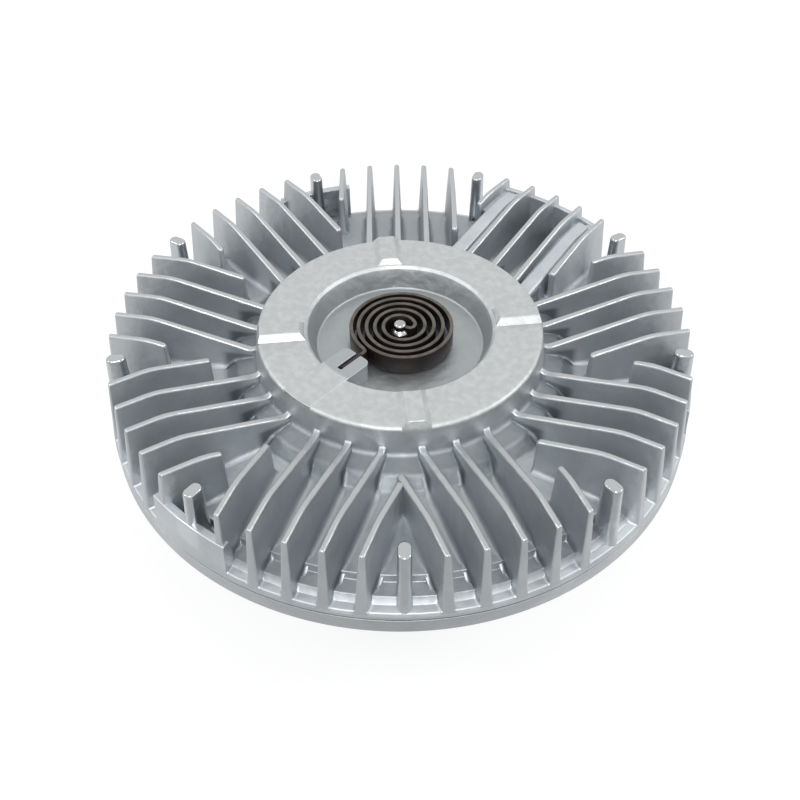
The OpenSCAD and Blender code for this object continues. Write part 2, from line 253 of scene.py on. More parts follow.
camera = add_camera()
print("camera at", [round(v, 4) for v in camera.location], "lens", camera.data.lens)

# %% [markdown]
# ## Writing shader maths as Python
# A material is a graph of nodes, and long graphs are hard to read as code. This class
# holds one socket. Adding or multiplying two of them adds a Math node, and its node
# method makes any other node from its type, its settings and its inputs.

# %% A class for shader maths
class Wire:
    def __init__(self, tree, socket=None):
        self.tree, self.socket = tree, socket

    def node(self, kind, settings=None, inputs=None, output=0):
        n = self.tree.nodes.new(kind)
        for key, value in (settings or {}).items():
            setattr(n, key, value)
        for key, value in (inputs or {}).items():
            self.plug(value, n.inputs[key])
        return Wire(self.tree, n.outputs[output] if len(n.outputs) else None)

    def plug(self, value, socket):
        if isinstance(value, Wire):
            self.tree.links.new(value.socket, socket)
        elif isinstance(value, (tuple, list)) and len(value) == 3 and socket.type == "RGBA":
            socket.default_value = (*value, 1)
        else:
            socket.default_value = value

    def out(self, name):
        return Wire(self.tree, self.socket.node.outputs[name])

    def math(self, operation, a, b=0.0):
        return self.node("ShaderNodeMath", {"operation": operation}, {0: a, 1: b})

    def __add__(self, other):
        return self.math("ADD", self, other)

    def __sub__(self, other):
        return self.math("SUBTRACT", self, other)

    def __rsub__(self, other):
        return self.math("SUBTRACT", other, self)

    def __mul__(self, other):
        return self.math("MULTIPLY", self, other)

    def __truediv__(self, other):
        return self.math("DIVIDE", self, other)

    __radd__, __rmul__ = __add__, __mul__

    def step(self, low, high):
        """0 below low, 1 above high, smooth between."""
        return self.node("ShaderNodeMapRange", {"interpolation_type": "SMOOTHSTEP"},
                         {"Value": self, "From Min": low, "From Max": high})


def mix_colour(wire, factor, a, b):
    return wire.node("ShaderNodeMix", {"data_type": "RGBA"}, {0: factor, 6: a, 7: b}, 2)


def coordinates(wire):
    """Object coordinates, their three parts, and the distance from the shaft."""
    where = wire.node("ShaderNodeTexCoord", output="Object")
    x = wire.node("ShaderNodeSeparateXYZ", None, {"Vector": where})
    y, z = x.out("Y"), x.out("Z")
    return where, x, y, z, wire.math("SQRT", x * x + y * y)


def noise(wire, where, scale, detail):
    return wire.node("ShaderNodeTexNoise", None,
                     {"Vector": where, "Scale": scale, "Detail": detail})


def bump(wire, height, strength, distance):
    return wire.node("ShaderNodeBump", None,
                     {"Height": height, "Strength": strength, "Distance": distance})


def new_finish(name, **fixed):
    """A material with a Principled shader; fixed values go straight on its sockets."""
    mat = bpy.data.materials.new(name)
    mat.use_nodes = True
    shader = mat.node_tree.nodes["Principled BSDF"]
    for key, value in fixed.items():
        socket = shader.inputs[key.replace("_", " ")]
        socket.default_value = (*value, 1) if isinstance(value, tuple) else value
    return mat, shader, Wire(mat.node_tree)


print("shader class ready")

# %% [markdown]
# ## Cast aluminium
# Die-cast aluminium is a satin metal. Its skin has a fine grain, and larger pale and dark
# clouds where the metal chilled. On the front cover the fin tops are the smoothest and the
# hub ring is blasted pale and matt. The floors between the fins, the fin roots at the hub
# and the floor of the coil recess are painted darker, as painted shade. The rear body is a
# darker copy of the same metal, also painted shade. All of this follows the place on the
# casting, so the masks come from the radius and the height.
# A broad, weak bump keeps the large faces from looking as flat as glass.

# %% Cast finish of the front cover and of the rear body
FRONT_CAST = ((0.53, 0.56, 0.583), (0.60, 0.63, 0.652), 0.43)
# The rear copy is darker than the front one: painted shade on the lower half of the housing.
SHADED_REAR_CAST = ((0.47, 0.50, 0.522), (0.54, 0.57, 0.592), 0.33)
CROWN_SLOPE = 9.4 / 33.0


def cast_finish(name, front):
    mat, shader, w = new_finish(name, Metallic=1.0, Specular_IOR_Level=0.5)
    where, x, y, z, r = coordinates(w)
    r = r / MM
    deep = (z - TOP * MM) / MM
    cloud = noise(w, where, 70.0, 4.0)
    patch = noise(w, where, 420.0, 3.0)
    grain = noise(w, where, 2600.0, 2.0)
    pits = w.node("ShaderNodeTexVoronoi", None, {"Vector": where, "Scale": 900.0})
    speck = (1 - pits.step(0.05, 0.22)) * patch.step(0.55, 0.68)
    darker, paler, base_rough = FRONT_CAST if front else SHADED_REAR_CAST
    shade = mix_colour(w, cloud.step(0.3, 0.72), darker, paler)
    rough = base_rough + 0.10 * cloud + 0.07 * patch
    wave = noise(w, where, 170.0, 2.0)
    height = 0.6 * grain + 0.9 * patch - 0.8 * speck + 14.0 * wave
    if front:
        crown = w.math("MINIMUM", 0.0, (r - (R - 15.0)) * CROWN_SLOPE)
        crest = (deep - crown).step(-0.9, -0.15) * r.step(HUB_R + 1.0, HUB_R + 1.6)
        ring = r.step(29.4, 30.6) * (1 - r.step(HUB_R + 0.3, HUB_R + 0.9)) * deep.step(-4.2, -2.6)
        # The next three masks paint shade: darker floors between the fins, darker fin roots at the
        # hub and a darker coil recess floor.
        low = (1 - deep.step(-18.6, -15.8)) * (1 - r.step(R - 4.5, R - 3.0))
        painted_root_shade = (1 - r.step(56.0, 59.0)) * (1 - deep.step(-11.6, -9.8))
        painted_recess_shade = (1 - r.step(29.2, 30.2)) * deep.step(-9.5, -8.6)
        turn = w.math("COSINE", 9 * w.math("ARCTAN2", y, x) - 9 * math.pi / 6)
        post = turn.step(0.88, 0.94) * r.step(R - 9.6, R - 9.0) * deep.step(-20.5, -18.0)
        blast = mix_colour(w, patch.step(0.35, 0.7), (0.53, 0.55, 0.55), (0.60, 0.615, 0.615))
        # The first three colours here are painted shade.
        for mask, colour in ((low, (0.38, 0.405, 0.425)), (painted_root_shade, (0.26, 0.285, 0.30)),
                             (painted_recess_shade, (0.42, 0.445, 0.455)), (crest, (0.50, 0.52, 0.53)),
                             (ring, blast)):
            shade = mix_colour(w, mask, shade, colour)
        rough = rough - 0.15 * crest - 0.01 * ring - 0.05 * low - 0.02 * painted_recess_shade - 0.20 * post
        height = height + 0.7 * ring * grain
    shade = mix_colour(w, speck * 0.55, shade, (0.15, 0.16, 0.17))
    w.plug(shade, shader.inputs["Base Color"])
    w.plug(rough, shader.inputs["Roughness"])
    w.plug(bump(w, height, 0.28, 0.00012), shader.inputs["Normal"])
    return mat


COVER_SKIN = cast_finish("cast aluminium front", True)
BODY_SKIN = cast_finish("cast aluminium rear, painted shade", False)
print("cast finishes", COVER_SKIN.name, "and", BODY_SKIN.name)

# %% [markdown]
# ## One lofted fin
# A fin is a thin wall with drafted sides. Its crest follows the crown of the cover, its
# foot flows into the floor with a fillet, and its outer end lies on the drafted rim.
# A loft gives all of that: one cross-section with rounded crest and feet is placed at
# stations along the fin, and each station reads the heights of crest and floor there.

# %% The loft used for fins and ridges
def heights(table):
    rs, zs = zip(*table)
    return lambda r: float(np.interp(r, rs, zs))


crown_z = heights([(44, -6.4), (46.2, -7.5), (47.0, -8.3), (48.0, -8.85), (49.4, -8.72),
                   (77.5, -0.72), (80, -0.2), (82.5, 0), (96, 0)])
floor_z = heights([(46, -11.4), (53.2, -13.0), (57.2, -17), (85.1, -17.8), (86.0, -19.8),
                   (90.4, -20.2), (92.0, -22.0), (94.5, -22.4), (96, -22.9)])
foot_r = heights([(46, 1.0), (56, 1.3), (60, 2.0), (80, 1.8), (88, 1.1), (95, 0.5)])
KINKS = (46.2, 47, 48, 49.4, 54, 55.5, 57, 77.5, 80, 82.5, 85.1, 86, 90.4, 92)
SPACING, END_BLEND = 5.0, 9.0


def section(half_at, z_top, z_low, crown, foot, trim=0.0):
    """Half outline of a fin from below the floor to the crest, as (y, z)."""
    pts = [(half_at(z_low) + foot, z_low - 0.7)]
    for t in np.linspace(0, 1, 5):
        w = -math.pi / 2 - t * math.pi / 2
        pts.append((half_at(z_low) + foot + foot * math.cos(w), z_low + foot + foot * math.sin(w)))
    for t in (0.33, 0.66):
        z = z_low + foot + (z_top - crown - z_low - foot) * t
        pts.append((half_at(z), z))
    base = half_at(z_top) - crown
    for t in np.linspace(0, 1, 5):
        w = t * math.pi / 2
        pts.append((base + crown * math.cos(w), z_top - crown + crown * math.sin(w)))
    return [(max(yy - trim, 0.02), zz - (trim if zz > z_low + foot + 0.1 else 0))
            for yy, zz in pts]


def loft(name, off, x0, half_at, top_at, end_r, crown=0.8, round_out=0.6, round_in=0.0,
         floor_at=floor_z, foot_at=foot_r):
    """A fin at distance off from its sector's middle line, from x0 out to radius end_r(z)."""
    x1 = math.sqrt(end_r(0.0) ** 2 - off * off)
    marks = [math.sqrt(max(q * q - off * off, 0)) for q in KINKS]
    xs = list(np.linspace(x0, x1, max(3, int((x1 - x0) / SPACING) + 1))[1:-1])
    xs = sorted([v for v in xs if all(abs(v - m) > 0.6 for m in marks)]
                + [m for m in marks if x0 + 0.5 < m < x1 - 0.5])
    stations = []
    if round_in:
        stations += [(x0 + round_in * (1 - math.cos(a)), round_in * (1 - math.sin(a)))
                     for a in np.radians([8, 35, 62, 90])]
    else:
        stations.append((x0, 0.0))
    lo = stations[-1][0] + 0.3
    hi = x1 - round_out - 0.2
    stations += [(v, 0.0) for v in xs if lo < v < hi]
    stations += [(x1 - round_out * (1 - math.cos(a)), round_out * (1 - math.sin(a)))
                 for a in np.radians([90, 62, 35, 8])]
    pts, n = [], 0
    for x, trim in stations:
        k = min(max((x - (x1 - END_BLEND)) / END_BLEND, 0.0), 1.0)
        r = math.hypot(x, off)
        reach = end_r(floor_at(r + 1.0)) - end_r(0.0)
        z_low = floor_at(r + reach * k)
        half = section(half_at, top_at(r), z_low, crown, foot_at(r), trim)
        row = half + [(-yy, zz) for yy, zz in reversed(half)]
        n = len(row)
        for yy, zz in row:
            q = end_r(min(zz, 0.0))
            shift = math.sqrt(max(q * q - (off + yy) ** 2, 1.0)) - x1
            pts.append((x + shift * k, off + yy, zz))
    faces = []
    for s in range(len(stations) - 1):
        a, b = s * n, (s + 1) * n
        faces += [(a + i, a + (i + 1) % n, b + (i + 1) % n, b + i) for i in range(n)]
    faces += [tuple(range(n)), tuple(range((len(stations) - 1) * n, len(stations) * n))]
    return tidy_normals(make_object(name, pts, faces))


print("crest at 47, 70 and 90 mm:", [round(crown_z(v), 2) for v in (47, 70, 90)])

# %% [markdown]
# ## The rings of fins
# Nine sectors carry five parallel fins each. The three middle fins run into the hub, and
# the two edge fins stop short of it, one further out than the other. At the front, two
# edge fins run further in and meet. Each kind of fin is lofted once and repeated by the
# ring tree. The rings are kept apart until they are joined to the casting.

# %% Fins, posts and ledges
FIN_PITCH = 2 * R * math.tan(math.radians(SECTOR / 2)) / 6.65
RIM_DEPTH = 22.6
fin_half = lambda z: 0.95 + max(-z, 0) * math.tan(math.radians(2.0))
fin_end = lambda z: R - 2.6 + 2.4 * min(max(-z, 0) / RIM_DEPTH, 1.0)


def fin_ring(name, i, x0, count, first, round_in=0.0):
    one = loft(name, i * FIN_PITCH, x0, fin_half, crown_z, fin_end, round_in=round_in)
    return ring_of(one, count, first, SECTOR, COVER_SKIN)


fins = [fin_ring(f"fin_middle_{i + 1}", i, 44, 9, 10) for i in (-1, 0, 1)]
fins.append(fin_ring("fin_long_edge", -2, 57.6, 8, 330, 0.9))
fins.append(fin_ring("fin_front_long", -2, 54.7, 1, 290, 0.9))
fins.append(fin_ring("fin_short_edge", 2, 71.3, 8, 290, 0.9))
fins.append(fin_ring("fin_front_joined", 2, 58.6, 1, 250, 0.9))


def post_ring():
    """Round-ended posts between the sectors, wider at the foot, with softened tops."""
    levels = [(-23.2, 2.5), (-21.9, 2.3), (-20.5, 2.2), (-0.9, 1.95),
              (-0.42, 1.86), (-0.12, 1.64), (0.0, 1.28)]
    pts, faces, n = [], [], 28
    for z, rad in levels:
        outer = R - 4.4 - 1.5 * min(z / RIM_DEPTH, 0.0)
        for k in range(n):
            a = 2 * math.pi * k / n
            centre = outer if math.cos(a) > 1e-9 else R - 6.4
            pts.append((centre + rad * math.cos(a), rad * math.sin(a), z))
    for s in range(len(levels) - 1):
        a, b = s * n, (s + 1) * n
        faces += [(a + k, a + (k + 1) % n, b + (k + 1) % n, b + k) for k in range(n)]
    faces += [tuple(range(n)), tuple(range((len(levels) - 1) * n, len(levels) * n))]
    return ring_of(tidy_normals(make_object("post", pts, faces)), 9, 30, SECTOR, COVER_SKIN)


posts = post_ring()


def ledge(name, angle, z, reach=8.4):
    """A low wall at the rim, as high as z and reaching to both sides of an angle."""
    shape = round_corners([(R - 4.6, -23.6, 0), (R - 3.8, z, 0.5),
                           (R - 1.0, z, 0.6), (R - 0.25, -23.6, 0)])
    return turned(name, shape, 20, angle - reach, 2 * reach)


ledges = [ledge("ledge_back", 110, -8.6), ledge("ledge_left", 229.4, -11.6, 8.9),
          ledge("ledge_right", 350, -12)]
print("fins", [len(f.data.polygons) for f in fins], "faces; posts", len(posts.data.polygons))

# %% [markdown]
# ## Return passages
# In one sector two raised ridges hide the drillings that bring the fluid back to the hub,
# and a low wall closes the fin ends in front of them. The ridges use the same loft as
# the fins, only wider and lower, and pads of the same kind fill the gaps beside them.

# %% Ridges and low wall of the return sector
RETURN_ANGLE = 50
ridge_half = lambda z: 2.6 + max(-3 - z, 0) / 21
ridge_end = lambda z: R - 6.9 + 0.3 * min(max(-z, 0) / RIM_DEPTH, 1.0)
ridge_top = heights([(46, -10.6), (54, -8.8), (77, -3.1), (80, -2.7), (87, -2.4)])
ridges = []
for side in (-1, 1):
    one = loft(f"return_ridge_{side + 1}", side * 1.5 * FIN_PITCH, 44, ridge_half, ridge_top,
               ridge_end, crown=1.1, round_out=1.6)
    ridges.append(ring_of(one, 1, RETURN_ANGLE, SECTOR, COVER_SKIN))
pad_half = lambda z: FIN_PITCH / 4
pads = [(-1, 1.25, 44, 2.6), (-1, 1.75, 59.6, 1.1), (1, 1.25, 44, 1.2), (1, 1.75, 73.3, 1.8)]
for side, column, start, drop in pads:
    one = loft(f"return_pad_{len(ridges)}", side * column * FIN_PITCH, start, pad_half,
               lambda r: ridge_top(r) - drop, lambda z: R - 5.0)
    ridges.append(ring_of(one, 1, RETURN_ANGLE, SECTOR, COVER_SKIN))
low_wall = turned("return_wall", round_corners(
    [(R - 5.9, -23.4, 0), (R - 5.4, -3, 0.6), (R - 3.6, -3, 0.6), (R - 3.0, -23.4, 0)]),
    30, RETURN_ANGLE - 13, 26)
print("ridges and wall made")

# %% [markdown]
# ## The cover's turned body
# Floor, hub and coil recess are shapes of revolution, so one outline is spun around the
# shaft. Behind it lie the reservoir and the lands of the fluid chamber, as in the solid.

# %% Floor, hub and recess
LAND_MIDDLES = [R - 16.5 - 5.2 * i - 2.6 for i in range(5)]
LAND_HALF = 0.9


def cover_outline():
    lands = []
    for m in LAND_MIDDLES:
        a, b = m + LAND_HALF, m - LAND_HALF
        lands += [(a, -21.5, 0), (a, -26.8, 0), (b, -26.8, 0), (b, -21.5, 0)]
    ring_top = [(q, -1.0, 0) for q in np.linspace(32.2, 43.2, 4)]
    return round_corners(
        [(5.0, -8.4, 0.3), (27.1, -8.4, 0.9), (29.8, -1.9, 0.35), (30.7, -1.0, 0.35)] + ring_top
        + [(HUB_R, -1.0, 1.7), (46.95, -11.2, 2.0), (53.2, -12.9, 3.2), (57.2, -17, 3.0),
           (85.1, -17.8, 0.5), (86.0, -19.8, 0.5), (90.4, -20.2, 0.6), (92.0, -22.0, 0.6),
           (94.5, -22.4, 0.7), (R, -23.6, 0.4), (R, -24.8, 0.2), (93.2, -24.8, 0),
           (93.2, -26.1, 0), (91.2, -26.1, 0), (91.2, -28.1, 0), (93.2, -28.1, 0),
           (93.2, -29, 0), (84, -29, 0), (83, -28, 0), (83, -21.5, 0)]
        + lands
        + [(48, -21.5, 0), (48, -20.2, 0), (43, -20.2, 0), (43, -8, 0), (42, -7, 0),
           (33, -7, 0), (31, -12.4, 0), (9, -12.4, 0), (9, -15, 0), (3.85, -15, 0),
           (3.85, -13, 0), (5, -13, 0)])


cover = turned("front_cover_casting", cover_outline(), 432)
print("turned cover", len(cover.data.polygons), "faces")

# %% [markdown]
# ## The hub bars and the coil tab
# Four raised bars cross the hub ring. Each is drawn from above as a rectangle with curved
# ends and raised in levels that draw in at 45 degrees, like the draft of the real mould.
# A flat bar crosses the hub ring and reaches into the recess. A slot in its inner end
# takes the outer end of the coil. Its outline is drawn from above as a fork and raised in
# a few levels, the last ones drawn in a little, so that its top edges are soft.

# %% Levels, hub bars and forked tab
def stacked(name, levels):
    """Closed shape from outlines of equal length, given as (height, outline) from below."""
    pts, faces, n = [], [], len(levels[0][1])
    for z, outline in levels:
        pts += [(x, y, z) for x, y in outline]
    for k in range(len(levels) - 1):
        a, b = k * n, (k + 1) * n
        faces += [(a + i, a + (i + 1) % n, b + (i + 1) % n, b + i) for i in range(n)]
    faces += [tuple(range(n)), tuple(range((len(levels) - 1) * n, len(levels) * n))]
    return tidy_normals(make_object(name, pts, faces))


def hub_bars(angle=5.5):
    def outline(z, inset=0.0):
        up = min(max(1.0 - z, 0.0), 2.0)
        w = 2.4 + up - inset
        x0 = 32.4 - 0.8 * up + inset
        x1 = min(HUB_R - 1.0 + 0.4 * (1.0 - z), HUB_R - 0.104 * (z + 1.0)) - inset
        ys = np.linspace(-w, w, 9)
        out = [(math.sqrt(x1 * x1 - y * y), y) for y in ys]
        return out + [(math.sqrt(x0 * x0 - y * y), y) for y in ys[::-1]]
    levels = [(z, outline(z)) for z in (-6.0, -3.2, -1.6, -1.0, -0.7, 0.5, 0.72)]
    levels += [(0.88, outline(0.88, 0.06)), (0.97, outline(0.97, 0.2)), (1.0, outline(1.0, 0.42))]
    return ring_of(stacked("hub_bar", levels), 4, angle, 90, COVER_SKIN)


def drawn_in(outline, by):
    """Moves a closed outline inwards by a small distance."""
    p = np.asarray(outline, float)
    a, b = np.roll(p, 1, axis=0) - p, np.roll(p, -1, axis=0) - p
    t = b / np.linalg.norm(b, axis=1)[:, None] - a / np.linalg.norm(a, axis=1)[:, None]
    t /= np.linalg.norm(t, axis=1)[:, None]
    return p + by * np.stack([-t[:, 1], t[:, 0]], axis=1)


def coil_tab(w=5.5, x0=19.2):
    end = [(math.sqrt(HUB_R * HUB_R - y * y), y, 0) for y in np.linspace(-w, w, 7)]
    fork = round_corners(end + [(x0, w, 2.2), (x0, 1.02, 0.35), (27.8, 1.02, 0.5),
                                (27.8, -0.7, 0.5), (x0, -0.7, 0.35), (x0, -w, 2.2)], 5)
    levels = [(-9.4, 0.0), (-1.5, 0.0), (-1.1, 0.0), (-1.0, 0.05), (-0.93, 0.16), (-0.9, 0.3)]
    one = stacked("coil_tab", [(z, drawn_in(fork, by)) for z, by in levels])
    return ring_of(one, 1, TAB_ANGLE, 0, COVER_SKIN)


bars, tab = hub_bars(), coil_tab()
print("hub bars", len(bars.data.polygons), "and tab", len(tab.data.polygons), "faces")

# %% [markdown]
# ## Joining the casting
# On the real cover all of this is one piece of metal. A Boolean joins the rings to the
# turned body, so that no wall runs on inside another. The joined mesh is shaded smooth,
# and weighted normals keep the large flat faces flat.

# %% Join, shade and place the front cover
def joined(base, parts, operation="UNION"):
    """Adds parts to base, or cuts them out of it, one after the other."""
    for part in parts:
        mod = base.modifiers.new("join", "BOOLEAN")
        mod.operation, mod.solver, mod.object = operation, "MANIFOLD", part
        plain_mesh(base)
        mesh = part.data
        bpy.data.objects.remove(part)
        bpy.data.meshes.remove(mesh)
    return base


def shade_cast(obj, paint, angle=42):
    """Smooth shading with sharp edges above an angle, and one finish."""
    obj.data.shade_smooth()
    obj.data.set_sharp_from_angle(angle=math.radians(angle))
    mod = obj.modifiers.new("normals", "WEIGHTED_NORMAL")
    mod.keep_sharp = True
    plain_mesh(obj)
    obj.data.materials.clear()
    obj.data.materials.append(paint)
    return obj


def triangles(obj):
    return sum(len(p.vertices) - 2 for p in obj.data.polygons)


joined(cover, fins + [posts] + ledges + ridges + [low_wall, bars, tab])
shade_cast(cover, COVER_SKIN)
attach(cover, "housing")
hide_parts("front_cover")
print("front cover has", triangles(cover), "triangles")

# %% [markdown]
# ## The rear body
# The rear half of the housing carries the fan. It is another turned casting with a flat
# fan seat, a centring boss and a ring of radial ribs. The ribs reuse the fin loft upside
# down: they are drawn with the height pointing to the rear and then turned over.

# %% Turned rear body with ribs and fan holes
RIB_TOP = 46.0
FAN_CIRCLE_R = 41.5


def body_outline():
    lands = []
    for m in reversed(LAND_MIDDLES):
        a, b = m - LAND_HALF, m + LAND_HALF
        lands += [(a, -38, 0), (a, -32.7, 0), (b, -32.7, 0), (b, -38, 0)]
    return round_corners(
        [(93.2, -25.25, 0), (R, -25.25, 0.15), (R, -31.0, 0.7), (89, -31.0, 1.2),
         (87.9, -32.6, 1.0), (86.5, -41.0, 2.0), (84.4, -42.5, 2.0), (55.4, -42.5, 1.5),
         (52.1, -47.0, 0.8), (32.5, -47.0, 0.5), (32.5, -53.0, 0.8), (16.8, -53.0, 0.5),
         (16.8, -50, 0), (20, -50, 0), (20, -37.9, 0), (21.3, -37.9, 0), (21.3, -36.6, 0),
         (20, -36.6, 0), (20, -33.5, 0), (50, -33.5, 0), (51.5, -38, 0)]
        + lands + [(83, -38, 0), (83, -29, 0), (93.2, -29, 0)])


def rib_ring(count=36):
    floor = heights([(49, -2.0), (54.5, -3.5), (84.4, -3.5), (86.5, -5.2),
                     (87.9, -13.4), (89, -15), (96, -15)])
    foot = heights([(49, 0.8), (80, 1.2), (90, 1.0), (96, 0.6)])
    top = heights([(49, 0.0), (74, -0.4), (76, -0.9), (89, -9.0), (93.4, -13)])
    one = loft("rib", 0.0, 50.5, lambda z: 1.1 + max(-z, 0) * 0.034, top, lambda z: R - 1.6,
               crown=0.75, floor_at=floor, foot_at=foot)
    for v in one.data.vertices:
        v.co.z = (TOP - RIB_TOP) * MM - (v.co.z - TOP * MM)
    tidy_normals(one)
    return ring_of(one, count, 5, 360 / count, BODY_SKIN)


def fan_holes():
    shape = [(0, -48.2), (4.6, -48.2), (4.6, -47.0), (3.4, -45.8), (3.4, -36.4), (0, -34.8)]
    one = turned("fan_hole", shape, 40)
    for v in one.data.vertices:
        v.co.x += FAN_CIRCLE_R * MM
    return ring_of(one, 4, 45, 90, BODY_SKIN)


body = turned("rear_body_casting", body_outline(), 288)
joined(body, [rib_ring()])
joined(body, [fan_holes()], "DIFFERENCE")
shade_cast(body, BODY_SKIN)
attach(body, "housing")
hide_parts("rear_body")
print("rear body has", triangles(body), "triangles")

# %% [markdown]
# ## The bimetal coil
# The coil is a flat strip wound into a spiral whose turns bulge to one side. A table gives
# its radius against the angle, and the path is worked out from it as points. A Geometry
# Nodes tree sweeps a strip with softened edges along the path. The strip must stay
# upright, so the tree sets the normals of the curve to Z.

# %% Path of the coil
COIL = dict(thick=1.2, width=6.3, top=-1.2, edge=0.22)
COIL_TURN = [(4, 15.9), (46, 15.6), (136, 16.0), (226, 16.9), (316, 15.2), (360, 13.9),
             (406, 13.2), (496, 13.4), (586, 14.1), (676, 12.5), (720, 11.4), (766, 10.6),
             (856, 10.7), (946, 11.2), (1036, 9.7), (1080, 8.8), (1126, 7.9), (1216, 7.9),
             (1306, 8.2), (1396, 6.9), (1440, 6.0), (1486, 5.2), (1576, 5.0), (1666, 4.9)]
COIL_TAIL = [(26.78, 0.4), (19.8, 0.4), (17.3, 0.42), (16.4, 0.25)]
COIL_HOOK = [(4.4, 0.25), (3.6, 0.42), (2.04, 0.46)]
COIL_STEP, BLUR = 4.5, 17


def coil_path():
    """Points from the tail in the slot, round the turns, to the hook at the pin."""
    turn, radius = np.array(COIL_TURN, float).T
    every = np.arange(4.0, 1667.0, COIL_STEP)
    read = np.interp(every, turn, radius)
    smooth = np.convolve(np.pad(read, BLUR // 2, "edge"), np.full(BLUR, 1 / BLUR), "valid")
    smooth[:4] = read[:4]
    pts = list(COIL_TAIL)
    pts += [(q * math.cos(a), -q * math.sin(a)) for q, a in zip(smooth, np.radians(every))]
    a = math.radians(every[-1])
    return pts + [(q * math.cos(a + t), -q * math.sin(a + t)) for q, t in COIL_HOOK]


def strip_tree():
    tree = bpy.data.node_groups.new("strip along a path", "GeometryNodeTree")
    face = tree.interface
    face.new_socket("Path", in_out="INPUT", socket_type="NodeSocketGeometry")
    thick = face.new_socket("Thickness", in_out="INPUT", socket_type="NodeSocketFloat")
    width = face.new_socket("Width", in_out="INPUT", socket_type="NodeSocketFloat")
    soft = face.new_socket("Edge radius", in_out="INPUT", socket_type="NodeSocketFloat")
    paint = face.new_socket("Material", in_out="INPUT", socket_type="NodeSocketMaterial")
    face.new_socket("Strip", in_out="OUTPUT", socket_type="NodeSocketGeometry")
    make, link = tree.nodes.new, tree.links.new
    start, end = make("NodeGroupInput"), make("NodeGroupOutput")
    line, up = make("GeometryNodeMeshToCurve"), make("GeometryNodeSetCurveNormal")
    up.mode = "Z_UP"
    box, fillet = make("GeometryNodeCurvePrimitiveQuadrilateral"), make("GeometryNodeFilletCurve")
    fillet.mode = "POLY"
    fillet.inputs["Count"].default_value = 2
    sweep, real = make("GeometryNodeCurveToMesh"), make("GeometryNodeRealizeInstances")
    sweep.inputs["Fill Caps"].default_value = True
    dress = make("GeometryNodeSetMaterial")
    link(start.outputs["Path"], line.inputs[0])
    link(line.outputs[0], up.inputs["Curve"])
    link(start.outputs["Thickness"], box.inputs["Width"])
    link(start.outputs["Width"], box.inputs["Height"])
    link(box.outputs[0], fillet.inputs["Curve"])
    link(start.outputs["Edge radius"], fillet.inputs["Radius"])
    link(up.outputs[0], sweep.inputs["Curve"])
    link(fillet.outputs[0], sweep.inputs["Profile Curve"])
    link(sweep.outputs[0], real.inputs[0])
    link(real.outputs[0], dress.inputs["Geometry"])
    link(start.outputs["Material"], dress.inputs["Material"])
    link(dress.outputs[0], end.inputs[0])
    return tree, (thick.identifier, width.identifier, soft.identifier, paint.identifier)


print("coil path of", len(coil_path()), "points")

# %% [markdown]
# ## Blued bimetal
# The strip is rolled from two metals and has turned dark brown with heat. The cut edges of
# the turns have a paler tan tone, and the faces have a faint red bloom. On the tail in the
# slot the edges keep the dark face colour, as painted shade. Fine scratches run along the
# strip, so the grain is squeezed in height and long around the shaft.

# %% Finish of the coil
def bimetal_finish():
    mat, shader, w = new_finish("dark bimetal strip", Metallic=0.85)
    where, _, _, z, r = coordinates(w)
    deep = (z - (TOP + COIL["top"]) * MM) / MM
    edge = w.math("MAXIMUM", deep.step(-0.34, -0.1), 1 - deep.step(-6.25, -5.95))
    # No tan edge on the tail in the slot: painted shade.
    edge = edge * (1 - (r / MM).step(17.6, 19.0))
    long = w.node("ShaderNodeMapping", None, {"Vector": where, "Scale": (1.0, 1.0, 9.0)})
    streak = noise(w, long, 260.0, 4.0)
    bloom = noise(w, where, 120.0, 2.0).step(0.42, 0.7)
    face = mix_colour(w, bloom, (0.040, 0.036, 0.036), (0.072, 0.048, 0.040))
    cut = mix_colour(w, streak.step(0.35, 0.65), (0.105, 0.095, 0.084), (0.165, 0.148, 0.128))
    w.plug(mix_colour(w, edge, face, cut), shader.inputs["Base Color"])
    w.plug(0.30 + 0.16 * streak + 0.05 * edge, shader.inputs["Roughness"])
    w.plug(bump(w, streak, 0.12, 0.00008), shader.inputs["Normal"])
    return mat


BIMETAL = bimetal_finish()
print("finish", BIMETAL.name)

# %% [markdown]
# When the valve turns, the inner end of the coil turns with it, while the tail stays in
# its slot. Every point of the strip turns by its share of that angle, and the share grows
# along the strip. Here each point of the mesh is only matched to the nearest point of the path.

# %% The coil as a mesh
def bimetal_coil():
    a = math.radians(TAB_ANGLE)
    mid = COIL["top"] - COIL["width"] / 2
    pts = [(x * math.cos(a) - y * math.sin(a), x * math.sin(a) + y * math.cos(a), mid)
           for x, y in coil_path()]
    coil = make_object("bimetal_strip_coil", pts, [])
    bm = bmesh.new()
    bm.from_mesh(coil.data)
    bm.verts.ensure_lookup_table()
    for i in range(len(pts) - 1):
        bm.edges.new((bm.verts[i], bm.verts[i + 1]))
    bm.to_mesh(coil.data)
    bm.free()
    tree, ids = strip_tree()
    mod = coil.modifiers.new("strip", "NODES")
    mod.node_group = tree
    sizes = [COIL[key] * MM for key in ("thick", "width", "edge")]
    for key, value in zip(ids, sizes + [BIMETAL]):
        mod[key] = value
    plain_mesh(coil)
    tidy_normals(coil)
    coil.data.shade_smooth()
    coil.data.set_sharp_from_angle(angle=math.radians(40))
    return coil, np.array(pts)


def wind_up(coil, pts):
    """Bakes the coil's placement into its mesh and finds the nearest path point of each of its
    points.
    """
    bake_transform(coil)
    co = np.array([v.co for v in coil.data.vertices]) / MM
    near = np.array([np.argmin((pts[:, 0] - x) ** 2 + (pts[:, 1] - y) ** 2) for x, y, _ in co])


coil, coil_points = bimetal_coil()
coil.data.materials.clear()
coil.data.materials.append(BIMETAL)
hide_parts("bimetal_coil")
wind_up(coil, coil_points)
print("coil has", triangles(coil), "triangles")

